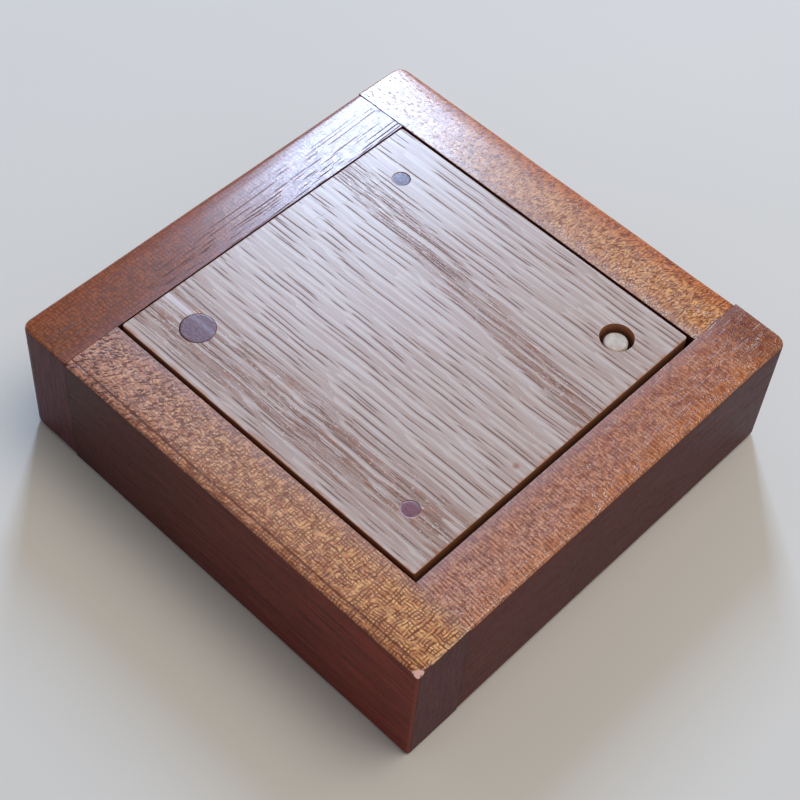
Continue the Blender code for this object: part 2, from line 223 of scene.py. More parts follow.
oakLook = {
    "ground": "#BDABA6",
    "warmGround": "#B29A90",
    "paleGround": "#D2C6C2",
    "vessel": "#6C4232",
    "halo": "#A5867A",
    "band": "#96705F",
    "patch": "#A06038",
    "fleck": "#F0E8E4",
    # side: a painted lit band at the top of the sides and the holes' walls; the next tone, below it, is painted
    # shade
    "side": "#BE7648",
    "sideShade": "#7A4E36",
    "edgeTint": "#A8643A",
    "paleLine": "#DCD0D6",
    "knot": "#A0695A",
    "bandAmount": 0.88,  # an amount is how fully a tone covers what lies under it
    "streakAmount": 0.35,
    "vesselAmount": 0.9,
    "wedgeAmount": 0.6,
    "haloAmount": 0.42,
    "fleckAmount": 0.8,
    "paleLineAmount": 0.85,
    "knotAmount": 0.8,
    "frontTint": 0.7,
    "rightTint": 0.55,
    "sideAmount": 0.92,
    "roughness": 0.28,
    "vesselRoughness": 0.42,
    "sideRoughness": 0.25,  # more than the top
    "streakRelief": 0.12,
    "bump": (0.45, 0.00008),  # strength, and depth in metres
    "vessels": {"across": 1.55, "down": 0.44, "dip": 1.9, "slant": 0.3, "roll": 8.8, "width": 0.31,
                "length": 11.0, "scatter": 0.8, "smallest": 0.45},
    "fineVessels": {"across": 0.58, "down": 0.26, "dip": 1.9, "slant": 0.3, "roll": 12.0, "width": 0.20,
                    "length": 8.0, "scatter": 0.9, "smallest": 0.4},
    "sway": (0.9, 0.9, 0.0),
    "swaySizes": (6.0, 6.0, 14.0),
    "streakSizes": (0.30, 0.30, 6.0),
    "fleckSizes": (0.14, 0.14, 0.8),
    "marks": {
        "ragged": {
            "sizes": (1.1, 1.1, 12.0), "levels": (0.36, 0.54), "strength": (0.2, 1.0), "detail": 3.0, "seed": 5,
        },
        "broad": {
            "sizes": (2.4, 2.4, 16.0), "levels": (0.35, 0.65), "strength": (0.0, 1.0), "detail": 2.0, "seed": 9,
        },
        "patch": {
            "sizes": (0.9, 0.9, 4.0), "levels": (0.53, 0.66), "strength": (0.0, 0.85), "detail": 3.0, "seed": 17,
        },
        "uneven": {
            "sizes": (2.0, 2.0, 3.0), "levels": (0.40, 0.62), "strength": (0.1, 1.0), "detail": 2.0, "seed": 25,
        },
    },
    "bands": ((22.0, 9.0, 3.6), (-28.5, -28.0, 6.6)),  # middle at the left end and at the right end, half width
    "bandEnds": 38.0,
    "bandFade": (0.45, 1.25),  # of the half width
    "paleLineLevel": -26.4,
    "paleLineEnd": -31.2,
    "knotPlace": (33.96, -7.96),
    "frontEdge": -37.2,
    "rightEdge": 36.85,
    # heights in metres where the painted shade on the sides starts and where it is full
    "sideShadeStart": 0.0288,
    "sideShadeFull": 0.0268,
    "seed": 3.7,
}


def oiledOak(name, look):
    material, tree, shader = newMaterial(name)
    seed = look["seed"]
    raw = fibreCoordinates(tree, fibreTurn(0))
    fibre = wanderingFibre(tree, raw, look)
    across = addNode(tree, "SeparateXYZ", {0: raw}, "X")
    along = addNode(tree, "SeparateXYZ", {0: raw}, "Z")

    # Two browner bands, where a growth ring runs out at the surface
    bands = []
    ends = look["bandEnds"]
    for leftLevel, rightLevel, halfWidth in look["bands"]:
        level = addNode(tree, "MapRange", {0: along, 1: -ends, 2: ends, 3: leftLevel, 4: rightLevel})
        away = distanceFrom(tree, across, level)
        full, none = (halfWidth * share for share in look["bandFade"])
        bands.append(addNode(tree, "MapRange", {0: away, 1: full, 2: none, 3: 1.0, 4: 0.0},
                             interpolation_type="SMOOTHSTEP"))
    band = addNode(tree, "Math", {0: bands[0], 1: bands[1]}, operation="MAXIMUM")
    band = addNode(tree, "Math", {0: band, 1: marksOf(tree, fibre, look, "ragged")}, operation="MULTIPLY")
    bandMask = addNode(tree, "Math", {0: band, 1: look["bandAmount"]}, operation="MULTIPLY")

    # Slow changes of tone, faint streaks of fibre, and small orange brown patches among the lines of the bands
    broad = marksOf(tree, fibre, look, "broad")
    streak = mottle(tree, fibre, look["streakSizes"], seed + 13)
    paleStreak = addNode(tree, "MapRange", {0: streak, 1: 0.52, 2: 0.75, 3: 0.0, 4: look["streakAmount"]})
    patch = marksOf(tree, fibre, look, "patch")
    patch = addNode(tree, "Math", {0: patch, 1: band}, operation="MULTIPLY")

    # Vessels: the wood beside each one is warm on its upper side and pale on its lower side
    field, offset = vesselField(tree, fibre, look["vessels"], seed)
    upperSide = addNode(tree, "SeparateXYZ", {0: offset}, "X")
    wedge = addNode(tree, "MapRange", {0: upperSide, 1: 0.0, 2: -0.45, 3: 0.0, 4: look["wedgeAmount"]})
    halo = addNode(tree, "MapRange", {0: field, 1: 0.9, 2: 3.2, 3: look["haloAmount"], 4: 0.0})
    vessel = addNode(tree, "MapRange", {0: field, 1: 0.70, 2: 1.10, 3: 1.0, 4: 0.0})
    fineField = vesselField(tree, fibre, look["fineVessels"], seed + 2)[0]
    fine = addNode(tree, "MapRange", {0: fineField, 1: 0.7, 2: 1.3, 3: 1.0, 4: 0.0})
    fine = addNode(tree, "Math", {0: fine, 1: band}, operation="MULTIPLY")
    pore = addNode(tree, "Math", {0: vessel, 1: fine}, operation="MAXIMUM")
    vesselMask = addNode(tree, "Math", {0: pore, 1: look["vesselAmount"]}, operation="MULTIPLY")

    # Tiny pale ray flecks, mostly in the bands
    fleck = mottle(tree, fibre, look["fleckSizes"], seed + 21, detail=1.0)
    fleckFloor = addNode(tree, "MapRange", {0: band, 3: 0.74, 4: 0.66})
    fleckTop = addNode(tree, "Math", {0: fleckFloor, 1: 0.05}, operation="ADD")
    fleck = addNode(tree, "MapRange", {0: fleck, 1: fleckFloor, 2: fleckTop, 3: 0.0, 4: look["fleckAmount"]})

    # A pale streak between the left edge and the large plug, and one pin knot
    away = distanceFrom(tree, across, look["paleLineLevel"])
    paleLine = addNode(tree, "MapRange", {0: away, 1: 0.35, 2: 0.85, 3: look["paleLineAmount"], 4: 0.0},
                     interpolation_type="SMOOTHSTEP")
    reach = addNode(tree, "MapRange", {0: along, 1: look["paleLineEnd"], 2: look["paleLineEnd"] + 0.8, 3: 1.0, 4: 0.0})
    paleLine = addNode(tree, "Math", {0: paleLine, 1: reach}, operation="MULTIPLY")
    knotAcross = addNode(tree, "Math", {0: across, 1: look["knotPlace"][1]}, operation="SUBTRACT")
    knotAlong = addNode(tree, "Math", {0: along, 1: look["knotPlace"][0]}, operation="SUBTRACT")
    knotOffset = addNode(tree, "CombineXYZ", {0: knotAcross, 1: knotAlong})
    knot = addNode(tree, "VectorMath", {0: knotOffset}, "Value", operation="LENGTH")
    knot = addNode(tree, "MapRange", {0: knot, 1: 0.3, 2: 0.9, 3: look["knotAmount"], 4: 0.0})

    # The top turns orange towards the front and right edges. The sides and the holes' walls are brown, with a
    # painted lit band along the top and painted shade lower down
    frontEdge, rightEdge = look["frontEdge"], look["rightEdge"]
    front = addNode(tree, "MapRange", {0: across, 1: frontEdge + 0.9, 2: frontEdge, 3: 0.0, 4: look["frontTint"]})
    right = addNode(tree, "MapRange", {0: along, 1: rightEdge - 0.8, 2: rightEdge, 3: 0.0, 4: look["rightTint"]})
    edgeTint = addNode(tree, "Math", {0: front, 1: right}, operation="MAXIMUM")
    edgeTint = addNode(tree, "Math", {0: edgeTint, 1: marksOf(tree, raw, look, "uneven")}, operation="MULTIPLY")
    facing = addNode(tree, "TexCoord", {}, "Normal")
    up = addNode(tree, "SeparateXYZ", {0: facing}, "Z")
    # The sides get a painted lit band at the top, fading into painted shade lower down
    side = addNode(tree, "MapRange", {0: up, 1: 0.85, 2: 0.45, 3: 0.0, 4: look["sideAmount"]})
    level = addNode(tree, "SeparateXYZ", {0: facing.node.outputs["Object"]}, "Z")
    low = addNode(tree, "MapRange", {0: level, 1: look["sideShadeStart"], 2: look["sideShadeFull"]})
    sideTone = layUp(tree, look["side"], [(low, look["sideShade"])])

    colour = layUp(tree, look["warmGround"], [
        (broad, look["ground"]),
        (paleStreak, look["paleGround"]),
        (bandMask, look["band"]),
        (patch, look["patch"]),
        (wedge, look["paleGround"]),
        (halo, look["halo"]),
        (vesselMask, look["vessel"]),
        (fleck, look["fleck"]),
        (paleLine, look["paleLine"]),
        (knot, look["knot"]),
        (edgeTint, look["edgeTint"]),
        (side, sideTone),
    ])
    roughness = addNode(tree, "MapRange", {0: pore, 3: look["roughness"], 4: look["vesselRoughness"]})
    roughness = addNode(tree, "Math", {0: side, 1: look["sideRoughness"], 2: roughness}, operation="MULTIPLY_ADD")
    shader.inputs["IOR"].default_value = woodIor
    relief = addNode(tree, "Math", {0: streak, 1: look["streakRelief"], 2: 0.8}, operation="MULTIPLY_ADD")
    relief = addNode(tree, "Math", {0: relief, 1: pore}, operation="SUBTRACT")
    joinUp(tree, shader, look, colour, roughness, relief)
    return material


# Varnished sapele: red brown, crossed by ripple marks and pore lines, with flecks and tiny painted glints on the
# varnish

sapeleBase = {
    "dark": ("#6A3C30", "#6A3C30"),  # a pair is for the rail's butt end and its through end
    "middle": ("#A36B52", "#A36B52"),
    "light": ("#C99668", "#C99668"),
    "outer": "#A9603A",
    "outerAmount": (0.5, 0.5),
    # inner: greyer tone at the opening, partly the wood and partly a painted highlight on the rounded inner edge
    "inner": "#8E6E78",
    "innerAmount": (0.45, 0.45),
    "pore": "#4A2822",
    # the sides' tones are darker than the top: partly the flat-sawn wood, partly painted shade
    "side": ("#5A2620", "#5A2620"),
    "sideDark": "#3A1A17",
    "end": "#64343A",
    "endDark": "#3A1C22",
    # glint: the tone of painted glints, specks of reflected light
    "glint": "#F2E6E2",
    # the next two tones are painted highlights at the front right corner: on the clipped facet, and down the
    # rounded vertical edge
    "facetHighlight": "#FFD0C8",
    "litCornerEdge": "#8E4436",
    "ripple": (0.6, 0.6),
    "line": (0.6, 0.6),
    "fleck": (0.6, 0.6),
    "pale": (0.9, 0.9),
    "waver": (8.0, 5.0),
    "ripplePitch": 0.72,
    "linePitch": 0.66,
    "fleckSize": (1.1, 0.9, 0.42),
    "fleckTurn": 0.0,
    "markAmount": 0.95,
    "shade": 0.35,  # how much of the dark is in the darker patches of the middle tone
    "poreAmount": (0.7, 0.7),  # at the outer face and at the inner face, as glintAmount is
    "relief": 0.3,
    "bump": (0.5, 0.00006),
    "glintSize": (0.13, 0.3, 0.24),
    "glintFloor": 0.68,
    "glintStep": 0.05,
    "glintPatches": (2.0, 2.5, 4.0),
    "glintAmount": (0.3, 0.3),
    "endShade": 0.0,
    "edgeLine": 0.0,
    "litCornerAmount": 0.75,
    "facetHighlightAmount": 0.0,
    "roughness": 0.20,
    "darkRoughness": 0.04,  # more than that between the pale cells
    "lightRoughness": 0.02,  # less than that on them
    "poreRoughness": 0.35,
    "sideRoughness": 0.25,
    "shine": (0.5, 0.12),  # of the top and of the sides
    "patchShift": 40,  # so that the ripple marks and the lines are patchy at different places
    "vessels": {"across": 0.62, "down": 0.30, "dip": 3.5, "slant": 1.0, "roll": 8.0, "width": 0.15,
                "length": 2.6, "scatter": 1.0, "smallest": 0.3},
    "sway": (1.6, 1.6, 0.0),
    "swaySizes": (8.0, 8.0, 30.0),
    "marks": {
        "broad": {
            "sizes": (3.0, 6.0, 10.0), "levels": (0.34, 0.60), "strength": (0.0, 1.0), "detail": 3.0, "seed": 3,
        },
        "blocks": {
            "sizes": (1.0, 1.2, 1.0), "levels": (0.38, 0.58), "strength": (0.25, 1.0), "detail": 2.0, "seed": 5,
        },
        "patchy": {
            "sizes": (1.4, 2.0, 1.4), "levels": (0.36, 0.54), "strength": (0.15, 1.0), "detail": 1.0, "seed": 0,
        },
        "streaks": {
            "sizes": (0.8, 0.45, 12.0), "levels": (0.30, 0.62), "strength": (0.15, 1.0), "detail": 4.0, "seed": 13,
        },
        "stripes": {
            "sizes": (0.45, 7.0, 3.0), "levels": (0.30, 0.66), "strength": (0.1, 1.0), "detail": 3.0, "seed": 15,
        },
    },
    "seed": 1.0,
}
railLooks = {
    "rail_front": {
        **sapeleBase,
        "dark": ("#5C3A38", "#6A3624"),
        "middle": ("#B27868", "#C87646"),
        "light": ("#E2B098", "#FAC080"),
        "inner": "#A08488",
        "innerAmount": (0.45, 0.30),
        "side": ("#4E2A26", "#8E3A30"),
        "ripple": (0.35, 1.0),
        "line": (0.60, 0.95),
        "fleck": (1.0, 0.3),
        "fleckTurn": -40.0,
        "glintAmount": (0.1, 0.35),
        "edgeLine": 0.8,
        "facetHighlightAmount": 1.0,
        "seed": 11.0,
    },
    "rail_right": {
        **sapeleBase,
        "dark": ("#66342E", "#5A281E"),
        "middle": ("#B07060", "#A05846"),
        "light": ("#DCA488", "#D28C66"),
        "waver": (3.5, 5.0),
        "ripple": (0.85, 0.55),
        "ripplePitch": 0.78,
        "line": (0.35, 0.35),
        "fleck": (0.5, 0.5),
        "outer": "#D8823C",
        "outerAmount": (0.5, 0.7),
        "inner": "#A88E94",
        "innerAmount": (0.5, 0.45),
        "glintFloor": 0.67,
        "glintAmount": (0.9, 0.3),
        "endShade": 0.45,
        "side": ("#66282A", "#56262C"),
        "seed": 23.0,
    },
    "rail_back": {
        **sapeleBase,
        "dark": ("#743620", "#845C58"),
        "middle": ("#C47C54", "#B88474"),
        "light": ("#F4B474", "#DEB49C"),
        "waver": (8.0, 8.0),
        "ripple": (0.7, 0.2),
        "line": (0.35, 0.2),
        "fleck": (0.9, 0.8),
        "poreAmount": (0.5, 0.5),
        "fleckSize": (0.9, 0.9, 0.34),
        "fleckTurn": -22.0,
        "outer": "#CC602C",
        "outerAmount": (0.85, 0.6),
        "inner": "#A89494",
        "relief": 0.12,
        "glintSize": (0.40, 0.4, 0.18),
        "glintFloor": 0.62,
        "glintAmount": (0.0, 0.9),
        "vessels": {**sapeleBase["vessels"], "width": 0.22, "length": 0.9, "across": 0.8, "dip": 9.0},
        "seed": 37.0,
    },
    "rail_left": {
        **sapeleBase,
        "dark": ("#583230", "#4A281A"),
        "middle": ("#905A54", "#864830"),
        "light": ("#B88078", "#A46240"),
        "waver": (4.0, 4.0),
        "relief": 0.08,
        "ripple": (0.7, 0.5),
        "ripplePitch": 0.80,
        "line": (0.6, 0.5),
        "linePitch": 0.85,
        "fleck": (0.2, 0.6),
        "pale": (0.8, 0.85),
        "outer": "#A24E26",
        "outerAmount": (0.7, 0.5),
        "inner": "#8A7082",
        "innerAmount": (0.6, 0.15),
        "vessels": {
            **sapeleBase["vessels"], "length": 6.0, "across": 0.85, "dip": 2.2, "width": 0.24, "smallest": 0.25,
        },
        "poreAmount": (0.0, 1.0),
        "glintAmount": (0.0, 0.1),
        "side": ("#5A2A24", "#4A2824"),
        "seed": 51.0,
    },
}
outerFace = -50.8  # places on a rail, in millimetres
innerFace = -38.1
outerFade = 5.0  # how far in from the outer face its own tone reaches
innerFade = 3.5
poreMargin = 3.0
endShadeReach = 8.0
edgeLineLevel = -49.0
# facings of the front right corner's clipped facet and vertical edge, where highlights are painted
facetFacing = (0.530, -0.530, 0.663)
cornerFacing = (0.707, -0.707, 0.0)
wavesAMillimetre = math.tau / 20  # a Wave texture of scale 1 repeats at this length


def varnishedSapele(name, look, quarterTurns):
    material, tree, shader = newMaterial(name)
    seed = look["seed"]
    raw = fibreCoordinates(tree, fibreTurn(quarterTurns))
    fibre = wanderingFibre(tree, raw, look)
    across = addNode(tree, "SeparateXYZ", {0: raw}, "X")
    along = addNode(tree, "SeparateXYZ", {0: raw}, "Z")
    travel = addNode(tree, "MapRange", {0: along, 1: innerFace, 2: -outerFace})

    # Tones and amounts that drift from the butt end of the board to its through end
    dark, middle, light, sideTone = (
        layUp(tree, look[tone][0], [(travel, look[tone][1])])
        for tone in ("dark", "middle", "light", "side")
    )
    ripple, line, fleck, pale, waver, outerAmount, innerAmount = (
        addNode(tree, "MapRange", {0: travel, 3: look[amount][0], 4: look[amount][1]})
        for amount in ("ripple", "line", "fleck", "pale", "waver", "outerAmount", "innerAmount")
    )
    poreAmount, glintAmount = (
        addNode(tree, "MapRange", {
            0: across, 1: outerFace + margin, 2: innerFace - margin, 3: look[amount][0], 4: look[amount][1],
        })
        for amount, margin in (("poreAmount", poreMargin), ("glintAmount", 0.0))
    )

    # Pale cells, cut up by dark ripple marks across the grain, by dark lines along it, and by flecks
    shade = layUp(tree, middle, [(look["shade"], dark)])
    broad = marksOf(tree, fibre, look, "broad")
    blocks = marksOf(tree, fibre, look, "blocks")
    bright = addNode(tree, "Math", {0: blocks, 1: pale}, operation="MULTIPLY")
    marks = []
    for direction, pitch, amount in (("Z", look["ripplePitch"], ripple), ("X", look["linePitch"], line)):
        wave = addNode(tree, "TexWave", {
            "Vector": fibre,
            "Scale": wavesAMillimetre / pitch,
            "Distortion": waver,
            "Detail": 1.0,
            "Detail Scale": 1.1,
        }, "Fac", wave_type="BANDS", bands_direction=direction, wave_profile="SIN")
        mark = addNode(tree, "MapRange", {0: wave, 1: 0.50, 2: 0.20})
        patchy = marksOf(tree, fibre, look, "patchy", shift=pitch * look["patchShift"])
        mark = addNode(tree, "Math", {0: mark, 1: patchy}, operation="MULTIPLY")
        marks.append(addNode(tree, "Math", {0: mark, 1: amount}, operation="MULTIPLY"))
    strokes = mottle(tree, fibre, look["fleckSize"], seed + 7, turn=look["fleckTurn"])
    strokes = addNode(tree, "MapRange", {0: strokes, 1: 0.49, 2: 0.42})
    strokes = addNode(tree, "Math", {0: strokes, 1: fleck}, operation="MULTIPLY")
    marked = addNode(tree, "Math", {0: marks[0], 1: marks[1]}, operation="MAXIMUM")
    marked = addNode(tree, "Math", {0: marked, 1: strokes}, operation="MAXIMUM")
    markMask = addNode(tree, "Math", {0: marked, 1: look["markAmount"]}, operation="MULTIPLY")

    # The board is more orange towards its outer face, and greyer towards the opening, partly the wood and partly a
    # painted highlight on the rounded inner edge
    outward = addNode(tree, "MapRange", {0: across, 1: outerFace + outerFade, 2: outerFace, 3: 0.0, 4: outerAmount})
    outerTone = layUp(tree, look["outer"], [(marked, dark)])
    inward = addNode(tree, "MapRange", {0: across, 1: innerFace - innerFade, 2: innerFace, 3: 0.0, 4: innerAmount},
                     interpolation_type="SMOOTHSTEP")
    layers = [(broad, middle), (bright, light), (markMask, dark), (outward, outerTone), (inward, look["inner"])]
    if look["endShade"]:
        endward = addNode(tree, "MapRange", {
            0: along, 1: -innerFace, 2: -innerFace + endShadeReach, 3: 0.0, 4: look["endShade"],
        })
        layers.append((endward, dark))

    # Vessels, and on one rail a dark line along its outer edge
    field = vesselField(tree, fibre, look["vessels"], seed)[0]
    pore = addNode(tree, "MapRange", {0: field, 1: 0.5, 2: 1.2, 3: 1.0, 4: 0.0})
    pore = addNode(tree, "Math", {0: pore, 1: poreAmount}, operation="MULTIPLY")
    layers.append((pore, look["pore"]))
    if look["edgeLine"]:
        away = distanceFrom(tree, across, edgeLineLevel)
        edge = addNode(tree, "MapRange", {0: away, 1: 0.10, 2: 0.35, 3: look["edgeLine"], 4: 0.0})
        layers.append((edge, dark))

    # The sides are darker, partly the flat-sawn wood and partly painted shade, with long lines of grain, and the
    # ends are striped from top to bottom
    facing = addNode(tree, "TexCoord", {}, "Normal")
    up = addNode(tree, "SeparateXYZ", {0: facing}, "Z")
    side = addNode(tree, "MapRange", {0: up, 1: 0.60, 2: 0.20})
    sideColour = layUp(tree, look["sideDark"], [(marksOf(tree, fibre, look, "streaks"), sideTone)])
    endColour = layUp(tree, look["endDark"], [(marksOf(tree, fibre, look, "stripes"), look["end"])])
    layers += [(side, sideColour), (endGrain(tree, quarterTurns), endColour)]
    # At the front right corner: a painted highlight on the clipped facet and a painted lit line down the rounded
    # vertical edge
    if look["facetHighlightAmount"]:
        toCorner = addNode(tree, "VectorMath", {0: facing, 1: cornerFacing}, "Value", operation="DOT_PRODUCT")
        litCorner = addNode(tree, "MapRange", {0: toCorner, 1: 0.85, 2: 0.98, 3: 0.0, 4: look["litCornerAmount"]})
        toFacet = addNode(tree, "VectorMath", {0: facing, 1: facetFacing}, "Value", operation="DOT_PRODUCT")
        facetHighlight = addNode(tree, "MapRange", {0: toFacet, 1: 0.975, 2: 0.99, 3: 0.0, 4: look["facetHighlightAmount"]})
        layers += [(litCorner, look["litCornerEdge"]), (facetHighlight, look["facetHighlight"])]

    # Tiny bright specks: painted glints of light off the varnish in the pores
    speck = mottle(tree, fibre, look["glintSize"], seed + 9, detail=0.0)
    glintFull = look["glintFloor"] + look["glintStep"]
    speck = addNode(tree, "MapRange", {0: speck, 1: look["glintFloor"], 2: glintFull, 3: 0.0, 4: 0.9})
    place = mottle(tree, fibre, look["glintPatches"], seed + 11)
    place = addNode(tree, "MapRange", {0: place, 1: 0.34, 2: 0.54, 3: 0.0, 4: glintAmount})
    speck = addNode(tree, "Math", {0: speck, 1: place}, operation="MULTIPLY")
    onTop = addNode(tree, "MapRange", {0: up, 1: 0.3, 2: 0.8})
    speck = addNode(tree, "Math", {0: speck, 1: onTop}, operation="MULTIPLY")
    layers.append((speck, look["glint"]))

    roughness = addNode(tree, "MapRange", {
        0: blocks, 3: look["roughness"] + look["darkRoughness"], 4: look["roughness"] - look["lightRoughness"],
    })
    for mask, extra in ((pore, look["poreRoughness"]), (side, look["sideRoughness"])):
        roughness = addNode(tree, "Math", {0: mask, 1: extra, 2: roughness}, operation="MULTIPLY_ADD")
    shine = addNode(tree, "MapRange", {0: side, 3: look["shine"][0], 4: look["shine"][1]})
    tree.links.new(shine, shader.inputs["Specular IOR Level"])
    shader.inputs["IOR"].default_value = woodIor
    relief = addNode(tree, "Math", {0: marked, 1: -look["relief"], 2: 0.7}, operation="MULTIPLY_ADD")
    relief = addNode(tree, "Math", {0: relief, 1: pore}, operation="SUBTRACT")
    joinUp(tree, shader, look, layUp(tree, shade, layers), roughness, relief)
    return material


# Oiled end grain of a dark hardwood: purple brown, smooth and faintly dotted, with a crescent at one side of the
# rim: painted shade on the large plug, a painted highlight on the small ones

plugLook = {
    "ground": "#744C5C",
    "deep": "#603E4A",
    "speck": "#856C7A",
    # rim: a crescent of painted shade, where the gap round the plug falls in shadow
    "rim": "#33242A",
    "rimShift": (0.16, 0.16),  # how far the rim's ring is off the plug's middle
    "rimSoftness": 0.12,
    "rimAmount": 0.85,
    "paleLine": "#8C7C92",
    "paleLineAmount": 0.55,
    "dotsAMillimetre": 4.0,
    "roughness": 0.32,
    "deepRoughness": 0.06,  # more than the ground
    "bump": (0.3, 0.00003),
    "marks": {
        "rings": {
            "sizes": (0.9, 0.5, 3.0), "levels": (0.36, 0.64), "strength": (0.0, 1.0), "detail": 3.0, "seed": 0,
        },
        "speck": {
            "sizes": (0.5, 0.25, 1.0), "levels": (0.58, 0.74), "strength": (0.0, 0.6), "detail": 1.0, "seed": 3,
        },
    },
}
plugs = {
    "large_plug": {**plugLook, "seed": 4.0},
    # the small plugs' pale rims are painted highlights, and the back left plug's bluish ground is partly a painted
    # reflection of the window
    "small_plug_back_left": {
        **plugLook, "ground": "#6C6A92", "rim": "#C6C8DC", "rimShift": (0.0, 0.20), "seed": 14.0,
    },
    "small_plug_front_right": {
        **plugLook, "ground": "#864C58", "deep": "#643842", "rim": "#CDB8C8", "rimShift": (0.0, 0.22), "seed": 31.0,
    },
}


def darkEndGrain(name, look, centre, radius):
    material, tree, shader = newMaterial(name)
    place = addNode(tree, "TexCoord", {}, "Object")
    local = addNode(tree, "Mapping", {
        "Vector": place,
        "Location": (-centre[0] * perMetre, -centre[1] * perMetre, 0.0),
        "Scale": (perMetre, perMetre, perMetre),
    })
    rings = marksOf(tree, local, look, "rings")
    dots = addNode(tree, "TexVoronoi", {"Vector": local, "Scale": look["dotsAMillimetre"]}, "Distance")
    dots = addNode(tree, "MapRange", {0: dots, 1: 0.10, 2: 0.28, 3: 0.25, 4: 0.0})

    # The lid's pale streak goes on faintly over the plug beside it
    level = addNode(tree, "SeparateXYZ", {0: place}, "Y")
    away = distanceFrom(tree, level, oakLook["paleLineLevel"] / perMetre)
    paleLine = addNode(tree, "MapRange", {0: away, 1: 0.0002, 2: 0.0007, 3: look["paleLineAmount"], 4: 0.0})

    # A crescent at one side of the rim: painted shade on the large plug, a painted highlight on the small ones
    flat = addNode(tree, "VectorMath", {0: local, 1: (1.0, 1.0, 0.0)}, operation="MULTIPLY")
    shifted = addNode(tree, "VectorMath", {0: flat, 1: (*look["rimShift"], 0.0)}, operation="SUBTRACT")
    reach = addNode(tree, "VectorMath", {0: shifted}, "Value", operation="LENGTH")
    inside, outside = radius - look["rimSoftness"], radius + look["rimSoftness"]
    rim = addNode(tree, "MapRange", {0: reach, 1: inside, 2: outside, 3: 0.0, 4: look["rimAmount"]})

    colour = layUp(tree, look["deep"], [
        (rings, look["ground"]),
        (dots, look["deep"]),
        (marksOf(tree, local, look, "speck"), look["speck"]),
        (paleLine, look["paleLine"]),
        (rim, look["rim"]),
    ])
    deepRoughness = look["roughness"] + look["deepRoughness"]
    roughness = addNode(tree, "MapRange", {0: rings, 3: deepRoughness, 4: look["roughness"]})
    relief = addNode(tree, "Math", {0: rings, 1: dots}, operation="SUBTRACT")
    joinUp(tree, shader, look, colour, roughness, relief)
    return material


# Plain boards and turned stock: close grained woods with a soft stripe

plainWood = {
    "poreAmount": 0.6,
    "darkRoughness": 0.06,  # more than the middle
    "lightRoughness": 0.04,  # less than the middle
    "bump": (0.35, 0.00006),
    "vessels": {"across": 0.7, "down": 0.35, "dip": 3.0, "slant": 0.6, "roll": 8.0, "width": 0.14,
                "length": 3.0, "scatter": 1.0, "smallest": 0.3},
}
maple = {
    **plainWood,
    "dark": "#B6A89C",
    "light": "#CDC4BB",
    "pore": "#AA9A8C",
    "roughness": 0.45,
    "sizes": (1.6, 1.6, 9.0),
    "seed": 5.0,
}
alder = {
    **plainWood,
    "dark": "#8C6248",
    "light": "#B48A66",
    "pore": "#6E4A36",
    "roughness": 0.5,
    "sizes": (1.2, 1.2, 14.0),
    "seed": 9.0,
}
board = {
    **plainWood,
    "dark": "#6C3C2C",
    "light": "#A06A4A",
    "pore": "#3E211A",
    "roughness": 0.42,
    "sizes": (1.6, 1.6, 20.0),
    "seed": 15.0,
}
walnut = {
    **plainWood,
    "dark": "#4A3028",
    "light": "#6E4C3C",
    "pore": "#2C1C18",
    "roughness": 0.42,
    "sizes": (0.5, 0.5, 8.0),
    "seed": 21.0,
}


def closeGrained(name, look, turnAngles=upright):
    material, tree, shader = newMaterial(name)
    fibre = fibreCoordinates(tree, turnAngles)
    stripe = mottle(tree, fibre, look["sizes"], look["seed"], detail=4.0)
    tone = addNode(tree, "MapRange", {0: stripe, 1: 0.34, 2: 0.66})
    field = vesselField(tree, fibre, look["vessels"], look["seed"])[0]
    pore = addNode(tree, "MapRange", {0: field, 1: 0.6, 2: 1.2, 3: look["poreAmount"], 4: 0.0})
    colour = layUp(tree, look["dark"], [(tone, look["light"]), (pore, look["pore"])])
    roughness = addNode(tree, "MapRange", {
        0: tone, 3: look["roughness"] + look["darkRoughness"], 4: look["roughness"] - look["lightRoughness"],
    })
    relief = addNode(tree, "Math", {0: stripe, 1: pore}, operation="SUBTRACT")
    joinUp(tree, shader, look, colour, roughness, relief)
    return material


# Drawn spring steel: grey wire with faint lines from the die

wireLook = {
    "bright": "#A8A9AB",
    "dull": "#77787B",
    "roughness": 0.32,
    "dullRoughness": 0.42,
    "bump": (0.2, 0.00002),
    "sizes": (1.5, 1.5, 0.12),
    "seed": 2.0,
}


def drawnSteel(name, look):
    material, tree, shader = newMaterial(name)
    lines = mottle(tree, fibreCoordinates(tree, upright), look["sizes"], look["seed"], detail=3.0)
    tone = addNode(tree, "MapRange", {0: lines, 1: 0.35, 2: 0.65})
    colour = layUp(tree, look["dull"], [(tone, look["bright"])])
    shader.inputs["Metallic"].default_value = 1.0
    roughness = addNode(tree, "MapRange", {0: tone, 3: look["dullRoughness"], 4: look["roughness"]})
    joinUp(tree, shader, look, colour, roughness, lines)
    return material


# Pieces

nodeBodies = {node: body for body, nodes in frame["record"]["behaviour"]["bodies"].items() for node in nodes}
weldDistance = 0.000001
sliverWidth = 0.000012
flatAngle = math.radians(0.2)
smoothAngle = math.radians(38)
edgeBreak = {"width": 0.00006, "segments": 2}  # every edge was rubbed over with sandpaper


def copyOf(nodeName):
    # A welded copy of a CAD node, with its flat faces whole again
    bm = bmesh.new()
    bm.from_mesh(frame["nodes"][nodeName].data)
    bmesh.ops.remove_doubles(bm, verts=bm.verts, dist=weldDistance)
    bmesh.ops.dissolve_limit(bm, angle_limit=flatAngle, verts=bm.verts, edges=bm.edges)
    return bm


